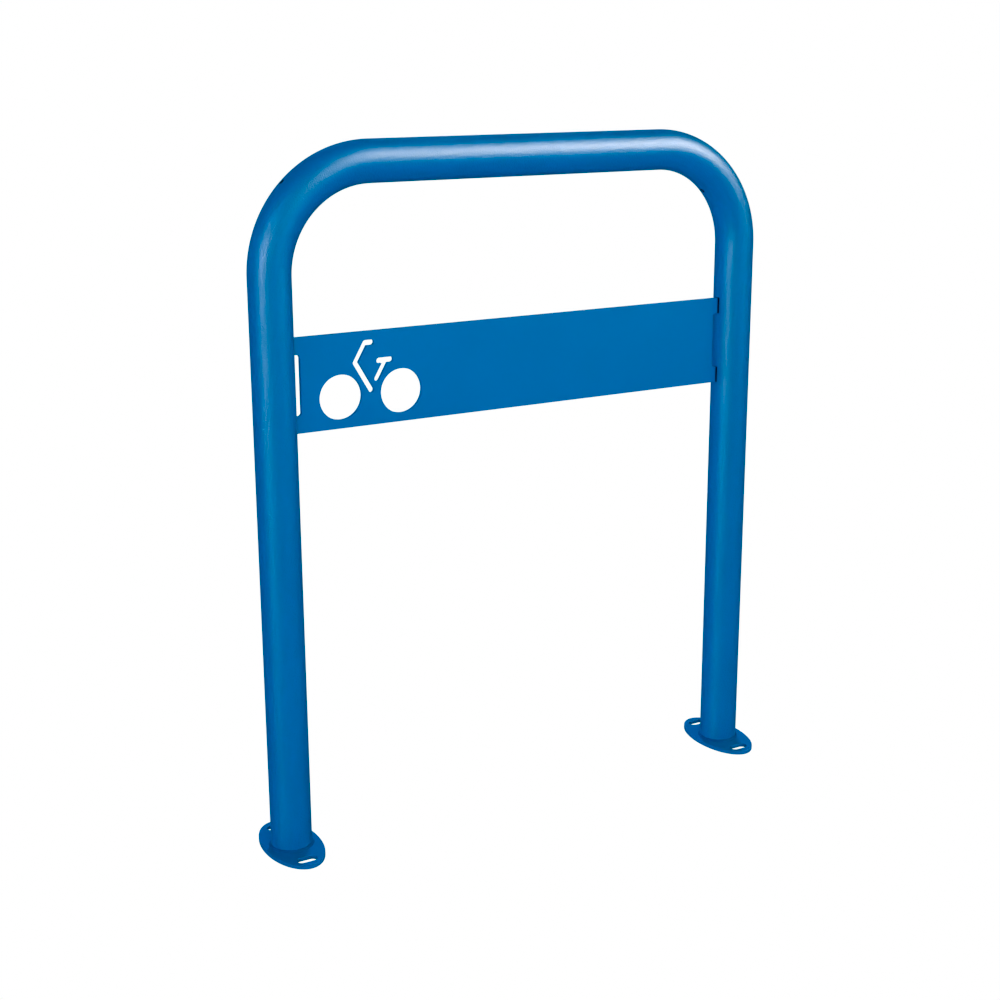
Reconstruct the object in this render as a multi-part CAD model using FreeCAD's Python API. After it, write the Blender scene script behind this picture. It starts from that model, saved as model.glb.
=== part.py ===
import FreeCAD, Part
import math
import os

# A hoop bike rack: one bent steel tube welded to two elliptical base plates, and a
# sheet panel between the legs with a bicycle cut out of it.
# Millimetres. +X runs along the hoop, -Y is the front of the panel and +Z is up.
# The origin is on the ground, midway between the two legs.

# Hoop tube
tube_diameter = 60.0
tube_wall = 2.5
leg_spacing = 780.0
overall_height = 1023.0
bend_radius = 150.0

# Holes that let air and zinc through the tube, drilled across the middle of each bend
vent_hole_diameter = 8.0
vent_hole_angle = 45.0

# Base plates: ellipses with their long axis across the hoop
plate_length = 156.0
plate_width = 84.0
plate_thickness = 6.0
anchor_slot_spacing = 117.0
anchor_slot_length = 31.0
anchor_slot_width = 16.0
drain_hole_diameter = 16.0

# Panel between the legs, hung a little below where the bends start
panel_thickness = 6.0
panel_height = 135.0
panel_below_bends = 84.0

# Each end of the panel has a notch that leaves an upper and a lower tab
notch_height = 87.0
notch_gap = 9.0
notch_corner_radius = 5.0
tab_reach = 2.0
tab_side_clearance = 2.0
tab_end_clearance = 0.4

# Bicycle cut-out, placed from the middle of its two wheels
bicycle_offset_x = -244.3
wheels_below_middle = 22.9
wheel_spacing = 94.2
wheel_diameter = 65.0
stroke_width = 8.5
stroke_slope = 60.0
frame_foot_height = 6.0
frame_knee_height = 46.8
handlebar_height = 73.8
grip_length = 9.6
saddle_front_x = 12.8
saddle_length = 18.1
saddle_height = 46.8
seat_post_x = 23.8
seat_post_length = 29.4

# Weld beads
foot_weld_leg = 3.0
panel_weld_leg = 5.0
panel_weld_end_gap = 3.0
weld_crown = 0.3

# Sizes that follow from the ones above
tube_radius = tube_diameter / 2
bore_radius = tube_radius - tube_wall
leg_x = leg_spacing / 2
top_axis_height = overall_height - tube_radius
bend_start_height = top_axis_height - bend_radius
bend_centre_x = leg_x - bend_radius
leg_inner_x = leg_x - tube_radius

panel_top = bend_start_height - panel_below_bends
panel_middle = panel_top - panel_height / 2
panel_bottom = panel_top - panel_height
panel_front_y = -panel_thickness / 2
panel_rear_y = panel_thickness / 2
notch_edge_x = leg_inner_x - notch_gap
tab_tip_x = leg_inner_x + tab_reach
tab_height = (panel_height - notch_height) / 2
tab_middles = (panel_bottom + tab_height / 2, panel_top - tab_height / 2)

# How far a cutting tool runs past the surface that it starts or ends at
overrun = 5.0

LEFT = -1
RIGHT = 1
SIDES = {"left": LEFT, "right": RIGHT}


def vector(x, y, z):
    return FreeCAD.Vector(x, y, z)


def capsule(start, end, width, through):
    """Round-ended slot shape between two centres, run straight along the vector through."""
    radius = width / 2
    along = (end - start).normalize()
    side = along.cross(through).normalize() * radius
    tip = along * radius
    edges = [
        Part.LineSegment(start + side, end + side).toShape(),
        Part.Arc(end + side, end + tip, end - side).toShape(),
        Part.LineSegment(end - side, start - side).toShape(),
        Part.Arc(start - side, start - tip, start + side).toShape(),
    ]
    return Part.Face(Part.Wire(edges)).extrude(through)


def hoop_path():
    """Centreline of the hoop: up the left leg, over both bends and down the right leg."""
    diagonal = bend_radius * math.sqrt(0.5)
    left_foot = vector(-leg_x, 0, plate_thickness)
    left_bend_start = vector(-leg_x, 0, bend_start_height)
    left_bend_middle = vector(-bend_centre_x - diagonal, 0, bend_start_height + diagonal)
    left_bend_end = vector(-bend_centre_x, 0, top_axis_height)
    right_bend_start = vector(bend_centre_x, 0, top_axis_height)
    right_bend_middle = vector(bend_centre_x + diagonal, 0, bend_start_height + diagonal)
    right_bend_end = vector(leg_x, 0, bend_start_height)
    right_foot = vector(leg_x, 0, plate_thickness)
    edges = [
        Part.LineSegment(left_foot, left_bend_start).toShape(),
        Part.Arc(left_bend_start, left_bend_middle, left_bend_end).toShape(),
        Part.LineSegment(left_bend_end, right_bend_start).toShape(),
        Part.Arc(right_bend_start, right_bend_middle, right_bend_end).toShape(),
        Part.LineSegment(right_bend_end, right_foot).toShape(),
    ]
    return Part.Wire(edges)


def hoop_bar(radius):
    """Solid round bar of one radius along the centreline of the hoop."""
    start = vector(-leg_x, 0, plate_thickness)
    section = Part.Wire(Part.makeCircle(radius, start, vector(0, 0, 1)))
    return hoop_path().makePipeShell([section], True, True)


def vent_hole(side):
    """Drill across one bend, square to the tube, through its outer and inner walls."""
    angle = math.radians(vent_hole_angle)
    outwards = vector(side * math.cos(angle), 0, math.sin(angle))
    bend_centre = vector(side * bend_centre_x, 0, bend_start_height)
    start = bend_centre + outwards * (bend_radius - tube_radius - overrun)
    depth = tube_diameter + 2 * overrun
    return Part.makeCylinder(vent_hole_diameter / 2, depth, start, outwards)


def tab_opening(side, middle):
    """Cutter for the opening in a leg's inner wall that takes one tab of the panel."""
    width = panel_thickness + 2 * tab_side_clearance
    height = tab_height + 2 * tab_end_clearance
    near_x = leg_inner_x - overrun
    far_x = leg_x
    corner_x = min(side * near_x, side * far_x)
    corner = vector(corner_x, -width / 2, middle - height / 2)
    return Part.makeBox(far_x - near_x, width, height, corner)


def hoop_tube():
    """The bent tube, with its vent holes and the openings for the panel's tabs."""
    tube = hoop_bar(tube_radius).cut(hoop_bar(bore_radius))
    cutters = []
    for side in SIDES.values():
        cutters.append(vent_hole(side))
        for middle in tab_middles:
            cutters.append(tab_opening(side, middle))
    return tube.cut(cutters)


def panel_notch(side):
    """Cutter for the rounded notch in one end of the panel."""
    length = tab_tip_x - notch_edge_x + 2 * notch_corner_radius
    depth = panel_thickness + 2 * overrun
    corner_x = notch_edge_x if side == RIGHT else -notch_edge_x - length
    corner = vector(corner_x, -depth / 2, panel_middle - notch_height / 2)
    block = Part.makeBox(length, depth, notch_height, corner)
    edges = [edge for edge in block.Edges if abs(edge.Length - depth) < 1e-6]
    return block.makeFillet(notch_corner_radius, edges)


def bicycle_cutters():
    """Cutters for the bicycle: two wheels, the frame with its handlebar, and the saddle."""
    front_y = panel_front_y - overrun
    through = vector(0, panel_thickness + 2 * overrun, 0)
    hub_height = panel_middle - wheels_below_middle

    def point(x, height):
        return vector(bicycle_offset_x + x, front_y, hub_height + height)

    def run_for(rise):
        """Sideways run of a sloping stroke for a given rise."""
        return rise / math.tan(math.radians(stroke_slope))

    cutters = []
    for side in SIDES.values():
        hub = point(side * wheel_spacing / 2, 0)
        cutters.append(Part.makeCylinder(wheel_diameter / 2, through.y, hub, vector(0, 1, 0)))

    frame_foot = point(0, frame_foot_height)
    knee_x = -run_for(frame_knee_height - frame_foot_height)
    knee = point(knee_x, frame_knee_height)
    stem_x = knee_x + run_for(handlebar_height - frame_knee_height)
    stem_top = point(stem_x, handlebar_height)
    grip_end = point(stem_x + grip_length, handlebar_height)
    saddle_front = point(saddle_front_x, saddle_height)
    saddle_back = point(saddle_front_x + saddle_length, saddle_height)
    post_drop = seat_post_length * math.sin(math.radians(stroke_slope))
    post_top = point(seat_post_x, saddle_height)
    post_foot = point(seat_post_x - run_for(post_drop), saddle_height - post_drop)
    strokes = [
        (frame_foot, knee),
        (knee, stem_top),
        (stem_top, grip_end),
        (saddle_front, saddle_back),
        (post_top, post_foot),
    ]
    for start, end in strokes:
        cutters.append(capsule(start, end, stroke_width, through))
    return cutters


def infill_panel():
    """The sheet panel, tip to tip of its four tabs, with its notches and the bicycle."""
    corner = vector(-tab_tip_x, panel_front_y, panel_bottom)
    sheet = Part.makeBox(2 * tab_tip_x, panel_thickness, panel_height, corner)
    notches = [panel_notch(side) for side in SIDES.values()]
    return sheet.cut(notches + bicycle_cutters()).removeSplitter()


def base_plate(side):
    """Elliptical plate under one leg, with two anchor slots and a drain hole."""
    centre = vector(side * leg_x, 0, 0)
    long_end = centre + vector(0, plate_length / 2, 0)
    short_end = centre + vector(plate_width / 2, 0, 0)
    rim = Part.Ellipse(long_end, short_end, centre).toShape()
    up = vector(0, 0, plate_thickness)
    blank = Part.Face(Part.Wire(rim)).extrude(up)
    half_run = vector((anchor_slot_length - anchor_slot_width) / 2, 0, 0)
    cutters = [Part.makeCylinder(drain_hole_diameter / 2, plate_thickness, centre)]
    for end in (-1, 1):
        middle = centre + vector(0, end * anchor_slot_spacing / 2, 0)
        cutters.append(capsule(middle - half_run, middle + half_run, anchor_slot_width, up))
    return blank.cut(cutters)


def foot_weld(side):
    """Weld bead round the foot of one leg, in the corner between tube and plate."""
    inner_x = side * leg_x + tube_radius
    corner = vector(inner_x, 0, plate_thickness)
    toe_on_plate = corner + vector(foot_weld_leg, 0, 0)
    toe_on_tube = corner + vector(0, 0, foot_weld_leg)
    outwards = vector(1, 0, 1).normalize() * weld_crown
    crown = (toe_on_plate + toe_on_tube) * 0.5 + outwards
    edges = [
        Part.LineSegment(toe_on_tube, corner).toShape(),
        Part.LineSegment(corner, toe_on_plate).toShape(),
        Part.Arc(toe_on_plate, crown, toe_on_tube).toShape(),
    ]
    section = Part.Face(Part.Wire(edges))
    return section.revolve(vector(side * leg_x, 0, 0), vector(0, 0, 1), 360)


def panel_weld(side, middle):
    """Weld bead behind one tab, between the rear face of the panel and the leg."""
    length = tab_height - 2 * panel_weld_end_gap
    base_z = middle - length / 2
    toe_y = panel_rear_y + panel_weld_leg
    toe_x = leg_x - math.sqrt(tube_radius ** 2 - toe_y ** 2)
    root = vector(side * tab_tip_x, panel_rear_y, base_z)
    toe_on_panel = vector(side * (leg_inner_x - panel_weld_leg), panel_rear_y, base_z)
    toe_on_leg = vector(side * toe_x, toe_y, base_z)
    outwards = vector(-side, 1, 0).normalize() * weld_crown
    crown = (toe_on_panel + toe_on_leg) * 0.5 + outwards
    edges = [
        Part.LineSegment(root, toe_on_panel).toShape(),
        Part.Arc(toe_on_panel, crown, toe_on_leg).toShape(),
        Part.LineSegment(toe_on_leg, root).toShape(),
    ]
    bead = Part.Face(Part.Wire(edges)).extrude(vector(0, 0, length))
    leg = Part.makeCylinder(tube_radius, length, vector(side * leg_x, 0, base_z))
    return bead.cut(leg)


def panel_welds(side):
    """The two beads that hold the panel to one leg."""
    return Part.makeCompound([panel_weld(side, middle) for middle in tab_middles])


def build():
    """Every piece of the rack under its own name."""
    pieces = {
        "hoop_tube": hoop_tube(),
        "infill_panel": infill_panel(),
    }
    for name, side in SIDES.items():
        pieces[name + "_base_plate"] = base_plate(side)
        pieces[name + "_foot_weld"] = foot_weld(side)
        pieces[name + "_panel_welds"] = panel_welds(side)
    return pieces


os.makedirs("parts", exist_ok=True)
for name, shape in build().items():
    shape.exportStep("parts/" + name + ".step")
    box = shape.optimalBoundingBox()
    print(
        name, "solids", len(shape.Solids), "valid", shape.isValid(),
        "volume", round(shape.Volume, 1),
        "x", round(box.XMin, 2), round(box.XMax, 2),
        "y", round(box.YMin, 2), round(box.YMax, 2),
        "z", round(box.ZMin, 2), round(box.ZMax, 2),
    )
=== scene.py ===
import bmesh
import bpy
import math
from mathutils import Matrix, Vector


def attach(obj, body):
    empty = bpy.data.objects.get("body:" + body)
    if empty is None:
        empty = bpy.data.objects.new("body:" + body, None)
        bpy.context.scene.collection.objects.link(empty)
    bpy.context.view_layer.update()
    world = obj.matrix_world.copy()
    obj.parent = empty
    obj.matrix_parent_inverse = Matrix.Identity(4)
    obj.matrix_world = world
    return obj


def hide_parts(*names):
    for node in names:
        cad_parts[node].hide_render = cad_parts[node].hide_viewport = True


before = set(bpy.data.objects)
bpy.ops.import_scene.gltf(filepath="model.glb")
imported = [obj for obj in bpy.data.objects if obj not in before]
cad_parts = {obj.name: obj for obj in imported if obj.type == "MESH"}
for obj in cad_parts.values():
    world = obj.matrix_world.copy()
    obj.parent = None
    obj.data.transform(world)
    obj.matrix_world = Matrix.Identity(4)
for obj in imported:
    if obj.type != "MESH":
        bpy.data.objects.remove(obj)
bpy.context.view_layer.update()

# Everything is in metres and stands where the steel solids stand.
# +X runs along the hoop, -Y is the front of the panel and +Z is up.

# Hoop tube
TUBE_RADIUS = 0.030
TUBE_WALL = 0.0025
LEG_X = 0.390
BEND_RADIUS = 0.150
BEND_CENTRE_X = 0.240
BEND_START = 0.843
TUBE_FOOT = 0.006
ABOVE_FEET = 0.1
VENT_RADIUS = 0.004
VENT_ANGLE = math.radians(45)
OPENING_WIDTH = 0.010
OPENING_HEIGHT = 0.0248
OPENING_START = 0.350
RIM_ROUND = 0.0002
# Faces this far under the tube's outer skin, inside it and on the walls of its holes, get a dark
# blue: painted shade.
PAINTED_SHADE_DEPTH = 0.0008
RING_SIDES = 96
BEND_STEPS = 48

# Panel with its notches and tabs
PANEL_THICKNESS = 0.006
PANEL_BOTTOM = 0.624
PANEL_HEIGHT = 0.135
PANEL_MIDDLE = PANEL_BOTTOM + PANEL_HEIGHT / 2
TAB_HEIGHT = 0.024
NOTCH_EDGES = (-0.351, 0.351)
NOTCH_HEIGHT = 0.087
NOTCH_CUT = 0.030
NOTCH_CORNER = 0.005
SHEET_EDGE_ROUND = 0.0002
TAB_MIDDLES = (PANEL_BOTTOM + TAB_HEIGHT / 2, PANEL_BOTTOM + PANEL_HEIGHT - TAB_HEIGHT / 2)

# The right tabs stop 3 mm short of the solid's, so that the openings beside them show as dark slits
TAB_TIPS = (-0.362, 0.359)

# Bicycle cut out of the panel, measured from the middle of its two hubs
BICYCLE_X = -0.2443
HUB_HEIGHT = 0.6686
HUB_SPACING = 0.0942
WHEEL_RADIUS = 0.0325
STROKE_RADIUS = 0.00425
BICYCLE_STROKES = (
    ((0.0, 0.006), (-0.02356, 0.0468)),
    ((-0.02356, 0.0468), (-0.00797, 0.0738)),
    ((-0.00797, 0.0738), (0.00163, 0.0738)),
    ((0.0128, 0.0468), (0.0309, 0.0468)),
    ((0.0238, 0.0468), (0.0091, 0.02134)),
)

# Base plates
PLATE_HALF_WIDTH = 0.042
PLATE_HALF_LENGTH = 0.078
PLATE_THICKNESS = 0.006
SLOT_PLACE = 0.0585
SLOT_RADIUS = 0.008
SLOT_HALF_RUN = 0.0075
DRAIN_RADIUS = 0.008
PLATE_EDGE_ROUND = 0.0006

# Weld bead at the foot of a leg: its leg, its bulge, its radius and how deep its back sits
FOOT_WELD_LEG = 0.003
FOOT_WELD_CROWN = 0.0003
FOOT_WELD_ROUND = 0.00765
FOOT_WELD_SUNK = 0.0003

# Weld beads behind the tabs, with places out from the rack's middle and back from the panel's
PANEL_WELD_LENGTH = 0.018
PANEL_WELD_STEPS = 12
PANEL_WELD_ROUND = 0.009
PANEL_WELD_TOE_ON_SHEET = (0.355, 0.003)
PANEL_WELD_TOE_ON_LEG = (0.36109, 0.008)
PANEL_WELD_ROOT = (0.3612, 0.0032)
PANEL_WELD_BACK = (0.3618, 0.0027)
PANEL_WELD_ENDS = ((0, 0.45), (1, 0.8), (11, 0.8), (12, 0.45))

# Lengths of the drills and cutters, each long enough to pass right through
VENT_DRILL = 0.090
PLATE_DRILL = 0.030
PANEL_DRILL = 0.020

# Greatest angle that still counts as flat, and least angle that counts as a corner
FLAT_ANGLE = math.radians(0.5)
CORNER_ANGLE = math.radians(40)

# Blue of the powder coat, from its darker to its lighter spots
COAT_BLUES = ((0.0, 0.068, 0.272), (0.0, 0.073, 0.288))

# Camera, in metres and degrees
CAMERA_PLACE = (-1.18916, -2.06007, 1.15143)
CAMERA_PITCH = 75.0
CAMERA_TURN = -30.0
CAMERA_SENSOR = 36.0
CAMERA_LENS = 58.543
CAMERA_SHIFT = (-0.02018, -0.02341)

# Studio
RACK_MIDDLE = (0, 0, 0.6)
WARM = (1.0, 0.89, 0.66)
WHITE = (1.0, 1.0, 1.0)

SIDES = {"left": -1, "right": 1}


def deselect_everything():
    """Nothing selected, so that an operator only reaches what is added next."""
    bpy.ops.object.select_all(action="DESELECT")


def pick(piece):
    """Only this piece selected and active."""
    deselect_everything()
    piece.select_set(True)
    bpy.context.view_layer.objects.active = piece


def open_mesh(piece):
    """Edit mode on one piece, with nothing in it selected."""
    pick(piece)
    bpy.ops.object.mode_set(mode="EDIT")
    bpy.ops.mesh.select_mode(type="VERT")
    bpy.ops.mesh.select_all(action="DESELECT")


def close_mesh():
    """Back from edit mode."""
    bpy.ops.object.mode_set(mode="OBJECT")


def select_vertices(wanted):
    """Selects the vertices of the open mesh whose place passes the test."""
    mesh = bmesh.from_edit_mesh(bpy.context.object.data)
    for vertex in mesh.verts:
        vertex.select = bool(wanted(vertex.co))
    mesh.select_flush(True)
    mesh.select_flush(False)
    bmesh.update_edit_mesh(bpy.context.object.data)


def select_edges(wanted):
    """Selects the edges of the open mesh that pass the test."""
    bpy.ops.mesh.select_mode(type="EDGE")
    bpy.ops.mesh.select_all(action="DESELECT")
    mesh = bmesh.from_edit_mesh(bpy.context.object.data)
    mesh.normal_update()
    for edge in mesh.edges:
        edge.select = bool(wanted(edge))
    bmesh.update_edit_mesh(bpy.context.object.data)


def is_corner(edge):
    """Whether the two faces beside an edge meet at a corner."""
    return len(edge.link_faces) == 2 and edge.calc_face_angle(0.0) > CORNER_ANGLE


def trim(cuts):
    """Cuts the open mesh along planes and drops what lies in front of them."""
    for place, direction in cuts:
        bpy.ops.mesh.select_all(action="SELECT")
        bpy.ops.mesh.bisect(
            plane_co=place, plane_no=direction, use_fill=False, clear_outer=True
        )
    bpy.ops.mesh.select_all(action="SELECT")


def settle(piece, name):
    """A finished start: named, with its place in its mesh."""
    piece.name = name
    piece.data.name = name
    pick(piece)
    bpy.ops.object.transform_apply(location=True, rotation=True, scale=True)
    return piece


def block(name, low, high):
    """A block between two opposite corners."""
    deselect_everything()
    middle = [(a + b) / 2 for a, b in zip(low, high)]
    bpy.ops.mesh.primitive_cube_add(size=1, location=middle)
    piece = bpy.context.object
    piece.scale = [b - a for a, b in zip(low, high)]
    return settle(piece, name)


def rod(name, middle, radius, length, turn=(0, 0, 0), sides=48):
    """A round rod, upright unless it is turned."""
    deselect_everything()
    bpy.ops.mesh.primitive_cylinder_add(
        vertices=sides, radius=radius, depth=length, location=middle, rotation=turn
    )
    return settle(bpy.context.object, name)


def slot_tool(name, start, end, radius, length, turn=(0, 0, 0)):
    """A cutter with round ends: two rods joined by the skin stretched round both."""
    piece = rod(name, start, radius, length, turn)
    open_mesh(piece)
    bpy.ops.mesh.primitive_cylinder_add(
        vertices=48, radius=radius, depth=length, location=end, rotation=turn
    )
    bpy.ops.mesh.select_all(action="SELECT")
    bpy.ops.mesh.convex_hull()
    close_mesh()
    return piece


def use(piece, kind, **settings):
    """Adds one modifier with its settings and applies it."""
    pick(piece)
    modifier = piece.modifiers.new(kind.lower(), kind)
    for key, value in settings.items():
        setattr(modifier, key, value)
    bpy.ops.object.modifier_apply(modifier=modifier.name)


def cut(piece, tool):
    """Takes a cutter's shape out of a piece and throws the cutter away."""
    use(piece, "BOOLEAN", operation="DIFFERENCE", object=tool, solver="EXACT")
    bpy.data.objects.remove(tool, do_unlink=True)


def tidy_cuts(piece):
    """Merges the tiny steps that cutting leaves, and joins faces that lie flat together."""
    open_mesh(piece)
    bpy.ops.mesh.select_all(action="SELECT")
    bpy.ops.mesh.remove_doubles(threshold=0.00003)
    bpy.ops.mesh.dissolve_limited(angle_limit=FLAT_ANGLE)
    close_mesh()


def ease_corners(piece, width, segments):
    """Rounds every corner of a piece a little, as a file or the paint does."""
    use(
        piece, "BEVEL", width=width, segments=segments, limit_method="ANGLE",
        angle_limit=CORNER_ANGLE, use_clamp_overlap=False,
    )


def smooth(piece, angle=60.0):
    """Smooth faces with crisp corners, shaded from the larger face at each edge."""
    pick(piece)
    bpy.ops.object.shade_smooth_by_angle(angle=math.radians(angle))
    use(piece, "WEIGHTED_NORMAL", mode="FACE_AREA", keep_sharp=True, weight=60)


def finish(piece, paint, node):
    """Paint, place on the rack, and the solid that the piece stands for."""
    piece.data.materials.clear()
    piece.data.materials.append(paint)
    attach(piece, "root")
    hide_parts(node)


def off_centreline(place):
    """How far a place is from the middle line of the hoop."""
    side = 1 if place.x > 0 else -1
    from_bend = Vector((place.x - side * BEND_CENTRE_X, 0, place.z - BEND_START))
    if from_bend.z < 0:
        return math.hypot(place.x - side * LEG_X, place.y)
    if side * from_bend.x < 0:
        return math.hypot(from_bend.z - BEND_RADIUS, place.y)
    return math.hypot(from_bend.length - BEND_RADIUS, place.y)


def make_bent_tube():
    """A ring drawn up the left leg, over both bends and down the right leg, then drilled."""
    deselect_everything()
    foot = (-LEG_X, 0, TUBE_FOOT)
    bpy.ops.mesh.primitive_circle_add(vertices=RING_SIDES, radius=TUBE_RADIUS, location=foot)
    tube = settle(bpy.context.object, "bent_tube")
    open_mesh(tube)
    bpy.ops.mesh.select_all(action="SELECT")
    leg = BEND_START - TUBE_FOOT
    bpy.ops.mesh.extrude_region_move(TRANSFORM_OT_translate={"value": (0, 0, leg)})
    quarter = math.radians(90)
    left_centre = (-BEND_CENTRE_X, 0, BEND_START)
    bpy.ops.mesh.spin(steps=BEND_STEPS, angle=quarter, center=left_centre, axis=(0, -1, 0))
    across = 2 * BEND_CENTRE_X
    bpy.ops.mesh.extrude_region_move(TRANSFORM_OT_translate={"value": (across, 0, 0)})
    right_centre = (BEND_CENTRE_X, 0, BEND_START)
    bpy.ops.mesh.spin(steps=BEND_STEPS, angle=quarter, center=right_centre, axis=(0, -1, 0))
    bpy.ops.mesh.extrude_region_move(TRANSFORM_OT_translate={"value": (0, 0, -leg)})
    bpy.ops.mesh.select_all(action="SELECT")
    bpy.ops.mesh.remove_doubles(threshold=0.00001)
    bpy.ops.mesh.normals_make_consistent(inside=False)
    close_mesh()
    use(tube, "SOLIDIFY", thickness=TUBE_WALL, offset=-1, use_even_offset=True)

    for side in SIDES.values():
        reach = BEND_RADIUS * math.cos(VENT_ANGLE)
        middle = (side * (BEND_CENTRE_X + reach), 0, BEND_START + reach)
        turn = (0, side * VENT_ANGLE, 0)
        cut(tube, rod("vent_drill", middle, VENT_RADIUS, VENT_DRILL, turn))
        for height in TAB_MIDDLES:
            near, far = sorted((side * OPENING_START, side * LEG_X))
            low = (near, -OPENING_WIDTH / 2, height - OPENING_HEIGHT / 2)
            high = (far, OPENING_WIDTH / 2, height + OPENING_HEIGHT / 2)
            cut(tube, block("tab_cutter", low, high))

    open_mesh(tube)
    bpy.ops.mesh.select_all(action="SELECT")
    bpy.ops.mesh.remove_doubles(threshold=0.00005)
    outer = TUBE_RADIUS - TUBE_WALL * 0.3

    def on_rim(edge):
        """Whether an edge runs round a hole, on the outside of the tube."""
        if not is_corner(edge):
            return False
        ends = [off_centreline(vertex.co) for vertex in edge.verts]
        return min(ends) > outer and min(vertex.co.z for vertex in edge.verts) > ABOVE_FEET

    select_edges(on_rim)
    bpy.ops.mesh.bevel(offset=RIM_ROUND, segments=2, affect="EDGES", clamp_overlap=False)
    close_mesh()
    smooth(tube)
    return tube


def make_cut_panel():
    """A flat sheet with a notch in each end and the bicycle cut through it."""
    low = (TAB_TIPS[0], -PANEL_THICKNESS / 2, PANEL_BOTTOM)
    high = (TAB_TIPS[1], PANEL_THICKNESS / 2, PANEL_BOTTOM + PANEL_HEIGHT)
    panel = block("cut_panel", low, high)
    for side, edge in zip(SIDES.values(), NOTCH_EDGES):
        near, far = sorted((edge, edge + side * NOTCH_CUT))
        low = (near, -PANEL_DRILL / 2, PANEL_MIDDLE - NOTCH_HEIGHT / 2)
        high = (far, PANEL_DRILL / 2, PANEL_MIDDLE + NOTCH_HEIGHT / 2)
        notch = block("notch_cutter", low, high)
        open_mesh(notch)
        select_edges(lambda line: abs(line.verts[0].co.y - line.verts[1].co.y) > PANEL_THICKNESS)
        bpy.ops.mesh.bevel(offset=NOTCH_CORNER, segments=10, affect="EDGES")
        close_mesh()
        cut(panel, notch)
    flat = (math.radians(90), 0, 0)
    for side in SIDES.values():
        hub = (BICYCLE_X + side * HUB_SPACING / 2, 0, HUB_HEIGHT)
        cut(panel, rod("wheel_cutter", hub, WHEEL_RADIUS, PANEL_DRILL, flat, sides=128))
    for start, end in BICYCLE_STROKES:
        ends = [(BICYCLE_X + x, 0, HUB_HEIGHT + z) for x, z in (start, end)]
        cut(panel, slot_tool("stroke_cutter", ends[0], ends[1], STROKE_RADIUS, PANEL_DRILL, flat))
    tidy_cuts(panel)
    ease_corners(panel, SHEET_EDGE_ROUND, 2)
    smooth(panel)
    return panel


def make_foot_plate(name, side):
    """An elliptical plate with two anchor slots and a drain hole, its edges eased."""
    middle = (side * LEG_X, 0, PLATE_THICKNESS / 2)
    deselect_everything()
    bpy.ops.mesh.primitive_cylinder_add(
        vertices=160, radius=PLATE_HALF_WIDTH, depth=PLATE_THICKNESS, location=middle
    )
    plate = bpy.context.object
    plate.scale = (1, PLATE_HALF_LENGTH / PLATE_HALF_WIDTH, 1)
    settle(plate, name + "_foot_plate")
    for end in (-1, 1):
        start = (side * LEG_X - SLOT_HALF_RUN, end * SLOT_PLACE, 0)
        stop = (side * LEG_X + SLOT_HALF_RUN, end * SLOT_PLACE, 0)
        cut(plate, slot_tool("slot_cutter", start, stop, SLOT_RADIUS, PLATE_DRILL))
    cut(plate, rod("drain_drill", middle, DRAIN_RADIUS, PLATE_DRILL))
    tidy_cuts(plate)
    ease_corners(plate, PLATE_EDGE_ROUND, 3)
    smooth(plate)
    return plate


def make_foot_bead(name, side):
    """A smooth weld bead turned round the foot of one leg, with its back sunk in leg and plate."""
    wall = side * LEG_X + TUBE_RADIUS
    crown = 0.5 * FOOT_WELD_LEG + FOOT_WELD_CROWN * math.sqrt(0.5)
    inset = crown - FOOT_WELD_ROUND * math.sqrt(0.5)
    middle = (wall + inset, 0, TUBE_FOOT + inset)
    deselect_everything()
    bpy.ops.mesh.primitive_circle_add(
        vertices=128, radius=FOOT_WELD_ROUND, fill_type="NGON",
        location=middle, rotation=(math.radians(90), 0, 0),
    )
    bead = settle(bpy.context.object, name + "_foot_bead")
    open_mesh(bead)
    trim((
        ((wall - FOOT_WELD_SUNK, 0, 0), (-1, 0, 0)),
        ((0, 0, TUBE_FOOT - FOOT_WELD_SUNK), (0, 0, -1)),
    ))
    bpy.ops.mesh.delete(type="ONLY_FACE")
    bpy.ops.mesh.select_all(action="SELECT")
    axis_place = (side * LEG_X, 0, 0)
    bpy.ops.mesh.spin(
        steps=240, angle=math.radians(360), center=axis_place, axis=(0, 0, 1)
    )
    bpy.ops.mesh.select_all(action="SELECT")
    bpy.ops.mesh.remove_doubles(threshold=0.00001)
    bpy.ops.mesh.normals_make_consistent(inside=False)
    close_mesh()
    smooth(bead)
    return bead


def make_panel_beads(name, side):
    """Two short beads behind the tabs, between the sheet and one leg."""
    lower, upper = [make_one_panel_bead(side, height) for height in TAB_MIDDLES]
    pick(lower)
    upper.select_set(True)
    bpy.ops.object.join()
    return settle(bpy.context.object, name + "_tab_beads")


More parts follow.
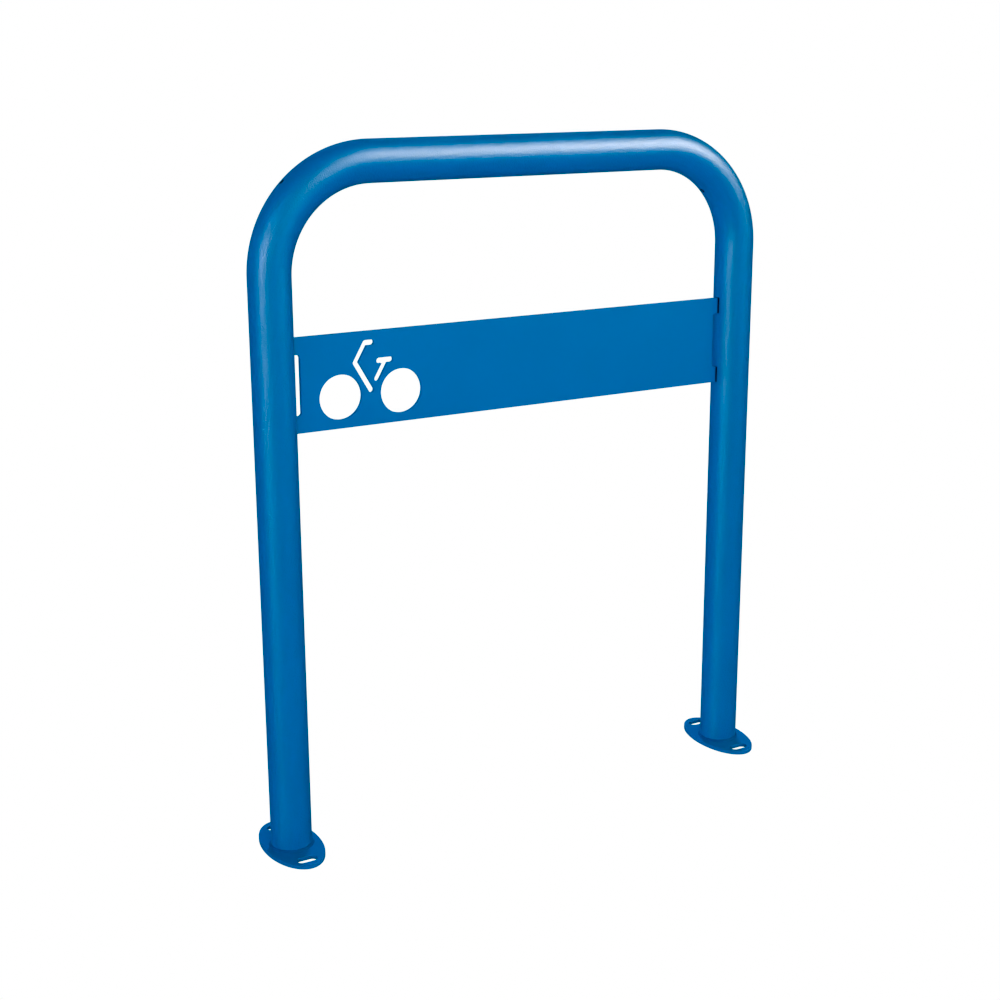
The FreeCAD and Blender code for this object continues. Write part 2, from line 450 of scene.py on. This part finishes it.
def make_one_panel_bead(side, height):
    """One bead: a slice of a round bar in the corner between sheet and leg, thinner at its ends."""
    toe_on_sheet = Vector((side * PANEL_WELD_TOE_ON_SHEET[0], PANEL_WELD_TOE_ON_SHEET[1]))
    toe_on_leg = Vector((side * PANEL_WELD_TOE_ON_LEG[0], PANEL_WELD_TOE_ON_LEG[1]))
    root = Vector((side * PANEL_WELD_ROOT[0], PANEL_WELD_ROOT[1]))
    chord = toe_on_leg - toe_on_sheet
    outwards = Vector((-side * chord.y, side * chord.x)).normalized()
    drop = math.sqrt(PANEL_WELD_ROUND ** 2 - (chord.length / 2) ** 2)
    centre = (toe_on_sheet + toe_on_leg) / 2 - outwards * drop
    bottom = height - PANEL_WELD_LENGTH / 2
    deselect_everything()
    bpy.ops.mesh.primitive_circle_add(
        vertices=128, radius=PANEL_WELD_ROUND, fill_type="NGON",
        location=(centre.x, centre.y, bottom),
    )
    bead = settle(bpy.context.object, "tab_bead")
    open_mesh(bead)
    trim((
        ((0, PANEL_WELD_BACK[1], 0), (0, -1, 0)),
        ((side * PANEL_WELD_BACK[0], 0, 0), (side, 0, 0)),
    ))
    step = PANEL_WELD_LENGTH / PANEL_WELD_STEPS
    for _ in range(PANEL_WELD_STEPS):
        bpy.ops.mesh.extrude_region_move(TRANSFORM_OT_translate={"value": (0, 0, step)})
    for ring, amount in PANEL_WELD_ENDS:
        level = bottom + ring * step
        bpy.ops.mesh.select_all(action="DESELECT")
        select_vertices(lambda place: abs(place.z - level) < step / 4)
        bpy.ops.transform.resize(
            value=(amount, amount, 1), center_override=(root.x, root.y, level)
        )
    bpy.ops.mesh.select_all(action="SELECT")
    bpy.ops.mesh.normals_make_consistent(inside=False)
    close_mesh()
    smooth(bead, 50)
    return bead


def powder_coat(
    name, peel=520.0, peel_depth=0.0006, rough=(0.34, 0.46), gloss_level=0.5, depth=1.0
):
    """Satin blue powder coat: a fine orange peel, a finer grain and slight changes of shade.

    peel is how close the peel's bumps are, and the last argument scales the blue: under 1 it is
    painted shade, over 1 painted light.
    """
    material = bpy.data.materials.new(name)
    material.use_nodes = True
    tree = material.node_tree
    tree.nodes.clear()
    output = tree.nodes.new("ShaderNodeOutputMaterial")
    paint = tree.nodes.new("ShaderNodeBsdfPrincipled")
    paint.inputs["IOR"].default_value = 1.5
    paint.inputs["Specular IOR Level"].default_value = gloss_level
    paint.inputs["Specular Tint"].default_value = (0.94, 0.98, 0.90, 1)
    tree.links.new(paint.outputs["BSDF"], output.inputs["Surface"])
    place = tree.nodes.new("ShaderNodeTexCoord")

    def noise(scale, detail):
        node = tree.nodes.new("ShaderNodeTexNoise")
        node.inputs["Scale"].default_value = scale
        node.inputs["Detail"].default_value = detail
        node.inputs["Roughness"].default_value = 0.5
        tree.links.new(place.outputs["Object"], node.inputs["Vector"])
        return node

    def bump(noise_node, distance):
        node = tree.nodes.new("ShaderNodeBump")
        node.inputs["Strength"].default_value = 1.0
        node.inputs["Distance"].default_value = distance
        tree.links.new(noise_node.outputs["Fac"], node.inputs["Height"])
        return node

    cloud = noise(9.0, 3.0)
    shade = tree.nodes.new("ShaderNodeValToRGB")
    for element, position, blue in zip(shade.color_ramp.elements, (0.3, 0.7), COAT_BLUES):
        element.position = position
        element.color = [part * depth for part in blue] + [1]
    tree.links.new(cloud.outputs["Fac"], shade.inputs["Fac"])
    tree.links.new(shade.outputs["Color"], paint.inputs["Base Color"])

    gloss = noise(500.0, 0.0)
    spread = tree.nodes.new("ShaderNodeMapRange")
    spread.inputs["From Min"].default_value = 0.3
    spread.inputs["From Max"].default_value = 0.7
    spread.inputs["To Min"].default_value = rough[0]
    spread.inputs["To Max"].default_value = rough[1]
    tree.links.new(gloss.outputs["Fac"], spread.inputs["Value"])
    tree.links.new(spread.outputs["Result"], paint.inputs["Roughness"])

    orange_peel = noise(peel, 2.0)
    grain = noise(peel * 4, 2.0)
    fine = bump(grain, 0.00003)
    coarse = bump(orange_peel, peel_depth)
    tree.links.new(fine.outputs["Normal"], coarse.inputs["Normal"])
    tree.links.new(coarse.outputs["Normal"], paint.inputs["Normal"])
    return material


def shaded_bare_steel(name):
    """Dull steel inside the tube and on the walls of its holes, in a dark blue at a quarter of the
    paint's blue: painted shade.
    """
    material = bpy.data.materials.new(name)
    material.use_nodes = True
    tree = material.node_tree
    steel = tree.nodes["Principled BSDF"]
    steel.inputs["Specular IOR Level"].default_value = 0.2
    place = tree.nodes.new("ShaderNodeTexCoord")
    spangle = tree.nodes.new("ShaderNodeTexNoise")
    spangle.inputs["Scale"].default_value = 120.0
    spangle.inputs["Detail"].default_value = 3.0
    tree.links.new(place.outputs["Object"], spangle.inputs["Vector"])
    shade = tree.nodes.new("ShaderNodeValToRGB")
    shade.color_ramp.elements[0].position = 0.3
    shade.color_ramp.elements[0].color = (0.002, 0.009, 0.036, 1)
    shade.color_ramp.elements[1].position = 0.7
    shade.color_ramp.elements[1].color = (0.004, 0.018, 0.070, 1)
    tree.links.new(spangle.outputs["Fac"], shade.inputs["Fac"])
    tree.links.new(shade.outputs["Color"], steel.inputs["Base Color"])
    dull = tree.nodes.new("ShaderNodeMapRange")
    dull.inputs["To Min"].default_value = 0.6
    dull.inputs["To Max"].default_value = 0.8
    tree.links.new(spangle.outputs["Fac"], dull.inputs["Value"])
    tree.links.new(dull.outputs["Result"], steel.inputs["Roughness"])
    bumps = tree.nodes.new("ShaderNodeBump")
    bumps.inputs["Distance"].default_value = 0.0001
    tree.links.new(spangle.outputs["Fac"], bumps.inputs["Height"])
    tree.links.new(bumps.outputs["Normal"], steel.inputs["Normal"])
    return material


def add_floor():
    """A plain pale floor: pure white as seen, pale as a bounce for light, dark in reflections."""
    deselect_everything()
    bpy.ops.mesh.primitive_plane_add(size=24, location=(0, 0, 0))
    floor = bpy.context.object
    floor.name = "studio_floor"
    paper = bpy.data.materials.new("pale_floor")
    paper.use_nodes = True
    tree = paper.node_tree
    tree.nodes.clear()
    output = tree.nodes.new("ShaderNodeOutputMaterial")
    white = tree.nodes.new("ShaderNodeEmission")
    white.inputs["Color"].default_value = (1, 1, 1, 1)
    white.inputs["Strength"].default_value = 1.0
    bounce = tree.nodes.new("ShaderNodeBsdfDiffuse")
    bounce.inputs["Color"].default_value = (0.74, 0.74, 0.74, 1)
    dark = tree.nodes.new("ShaderNodeBsdfDiffuse")
    dark.inputs["Color"].default_value = (0.0, 0.0, 0.0, 1)
    seen = tree.nodes.new("ShaderNodeLightPath")
    gloss = tree.nodes.new("ShaderNodeMixShader")
    tree.links.new(seen.outputs["Is Glossy Ray"], gloss.inputs["Fac"])
    tree.links.new(bounce.outputs["BSDF"], gloss.inputs[1])
    tree.links.new(dark.outputs["BSDF"], gloss.inputs[2])
    choose = tree.nodes.new("ShaderNodeMixShader")
    tree.links.new(seen.outputs["Is Camera Ray"], choose.inputs["Fac"])
    tree.links.new(gloss.outputs["Shader"], choose.inputs[1])
    tree.links.new(white.outputs["Emission"], choose.inputs[2])
    tree.links.new(choose.outputs["Shader"], output.inputs["Surface"])
    floor.data.materials.append(paper)


def add_softbox(name, place, aim, size, brightness, colour, for_gloss):
    """One soft studio light that fades towards its rim, for highlights or for fill alone."""
    deselect_everything()
    bpy.ops.object.light_add(type="AREA", location=place)
    light = bpy.context.object
    light.name = name
    light.visible_glossy = for_gloss
    light.visible_diffuse = not for_gloss
    light.data.shape = "ELLIPSE"
    light.data.size = size[0]
    light.data.size_y = size[1]
    area = math.pi / 4 * size[0] * size[1]
    light.data.energy = math.pi * area
    light.data.color = colour
    towards = Vector(aim) - Vector(place)
    light.rotation_euler = towards.to_track_quat("-Z", "Y").to_euler()
    light.data.use_nodes = True
    tree = light.data.node_tree
    lamp = tree.nodes["Emission"]
    spot = tree.nodes.new("ShaderNodeNewGeometry")
    centred = tree.nodes.new("ShaderNodeVectorMath")
    centred.operation = "SUBTRACT"
    centred.inputs[1].default_value = (0.5, 0.5, 0.0)
    tree.links.new(spot.outputs["Parametric"], centred.inputs[0])
    out = tree.nodes.new("ShaderNodeVectorMath")
    out.operation = "LENGTH"
    tree.links.new(centred.outputs["Vector"], out.inputs[0])
    fade = tree.nodes.new("ShaderNodeMapRange")
    fade.interpolation_type = "SMOOTHSTEP"
    fade.inputs["From Min"].default_value = 0.0
    fade.inputs["From Max"].default_value = 0.5
    fade.inputs["To Min"].default_value = brightness
    fade.inputs["To Max"].default_value = 0.0
    tree.links.new(out.outputs["Value"], fade.inputs["Value"])
    tree.links.new(fade.outputs["Result"], lamp.inputs["Strength"])


def from_middle(turn, height, distance):
    """A place seen from the middle of the rack: degrees from +Y towards +X, degrees up."""
    turn = math.radians(turn)
    height = math.radians(height)
    flat = math.cos(height) * distance
    up = RACK_MIDDLE[2] + math.sin(height) * distance
    return (math.sin(turn) * flat, math.cos(turn) * flat, up)


def add_surroundings():
    """White surroundings for the camera, and a soft sky, dimmer overhead, for the paint."""
    world = bpy.data.worlds.new("studio")
    bpy.context.scene.world = world
    world.use_nodes = True
    tree = world.node_tree
    tree.nodes.clear()
    output = tree.nodes.new("ShaderNodeOutputWorld")
    seen = tree.nodes.new("ShaderNodeLightPath")
    plain = tree.nodes.new("ShaderNodeBackground")
    plain.inputs["Color"].default_value = (1, 1, 1, 1)
    direction = tree.nodes.new("ShaderNodeTexCoord")
    parts = tree.nodes.new("ShaderNodeSeparateXYZ")
    tree.links.new(direction.outputs["Generated"], parts.inputs["Vector"])
    sky = tree.nodes.new("ShaderNodeMapRange")
    sky.inputs["From Min"].default_value = 0.0
    sky.inputs["From Max"].default_value = 1.0
    sky.inputs["To Min"].default_value = 1.0
    sky.inputs["To Max"].default_value = 0.3
    tree.links.new(parts.outputs["Z"], sky.inputs["Value"])
    room = tree.nodes.new("ShaderNodeBackground")
    room.inputs["Color"].default_value = (1, 1, 1, 1)
    tree.links.new(sky.outputs["Result"], room.inputs["Strength"])
    dark = tree.nodes.new("ShaderNodeBackground")
    dark.inputs["Color"].default_value = (0.09, 0.09, 0.09, 1)
    gloss = tree.nodes.new("ShaderNodeMixShader")
    tree.links.new(seen.outputs["Is Glossy Ray"], gloss.inputs["Fac"])
    tree.links.new(room.outputs["Background"], gloss.inputs[1])
    tree.links.new(dark.outputs["Background"], gloss.inputs[2])
    choose = tree.nodes.new("ShaderNodeMixShader")
    tree.links.new(seen.outputs["Is Camera Ray"], choose.inputs["Fac"])
    tree.links.new(gloss.outputs["Shader"], choose.inputs[1])
    tree.links.new(plain.outputs["Background"], choose.inputs[2])
    tree.links.new(choose.outputs["Shader"], output.inputs["Surface"])


def add_lights():
    """Two softboxes that only make the highlights, and four that only fill."""
    right = from_middle(132.5, 32.1, 6)
    left = from_middle(-116.4, 8.0, 8)
    front = from_middle(-155, 8, 6)
    back = from_middle(30, 38, 6)
    side = from_middle(-40, 6, 6)
    above = (-0.3, -1.2, 2.2)
    top_tube = (0, 0, 1.0)
    add_softbox("right_highlight", right, RACK_MIDDLE, (7.0, 4.8), 54.0, WARM, True)
    add_softbox("left_highlight", left, RACK_MIDDLE, (2.0, 4.2), 106.0, WHITE, True)
    add_softbox("front_fill", front, RACK_MIDDLE, (8.0, 2.4), 17.0, WHITE, False)
    add_softbox("back_fill", back, RACK_MIDDLE, (1.6, 1.6), 190.0, WHITE, False)
    add_softbox("side_fill", side, RACK_MIDDLE, (3.0, 1.2), 55.0, WHITE, False)
    add_softbox("top_fill", above, top_tube, (2.0, 0.8), 5.5, WHITE, False)


def set_picture():
    """Plain colours, with the faint red taken out of the blue."""
    picture = bpy.context.scene.view_settings
    picture.view_transform = "Standard"
    picture.use_curve_mapping = True
    picture.curve_mapping.black_level = (0.11, 0.0, 0.0)
    picture.curve_mapping.update()


def add_camera():
    """The camera at the photograph's viewing angle."""
    deselect_everything()
    bpy.ops.object.camera_add(location=CAMERA_PLACE)
    camera = bpy.context.object
    camera.name = "photo_camera"
    camera.rotation_euler = (math.radians(CAMERA_PITCH), 0.0, math.radians(CAMERA_TURN))
    camera.data.sensor_width = CAMERA_SENSOR
    camera.data.lens = CAMERA_LENS
    camera.data.shift_x = CAMERA_SHIFT[0]
    camera.data.shift_y = CAMERA_SHIFT[1]
    bpy.context.scene.camera = camera


def make_rack():
    """Every visible piece, painted and placed."""
    tube_paint = powder_coat("tube_powder_coat")
    # The panel's blue is 4 % lighter than the tube's: painted light on its front.
    lit_sheet_paint = powder_coat("sheet_powder_coat_painted_light", peel_depth=0.00012, depth=1.04)
    # The plates' blue is 5 % darker than the tube's: painted shade on their tops.
    shaded_plate_paint = powder_coat(
        "plate_powder_coat_painted_shade", peel_depth=0.00025, rough=(0.55, 0.65), gloss_level=0.24, depth=0.95
    )
    # The welds' blue is a third darker than the tube's: painted shade in the corners at the feet
    # and behind the tabs.
    shaded_weld_paint = powder_coat(
        "weld_powder_coat_painted_shade", peel=300.0, peel_depth=0.0003, rough=(0.60, 0.70), gloss_level=0.05,
        depth=0.66,
    )
    tube = make_bent_tube()
    finish(tube, tube_paint, "hoop_tube")
    # The inside of the tube and the walls of its holes take a dark blue: painted shade.
    tube.data.materials.append(shaded_bare_steel("steel_inside_tube_painted_shade"))
    inside = TUBE_RADIUS - PAINTED_SHADE_DEPTH
    for face in tube.data.polygons:
        if off_centreline(face.center) < inside:
            face.material_index = 1
    finish(make_cut_panel(), lit_sheet_paint, "infill_panel")
    for name, side in SIDES.items():
        finish(make_foot_plate(name, side), shaded_plate_paint, name + "_base_plate")
        finish(make_foot_bead(name, side), shaded_weld_paint, name + "_foot_weld")
        finish(make_panel_beads(name, side), shaded_weld_paint, name + "_panel_welds")


add_camera()
make_rack()
add_floor()
add_surroundings()
add_lights()
set_picture()
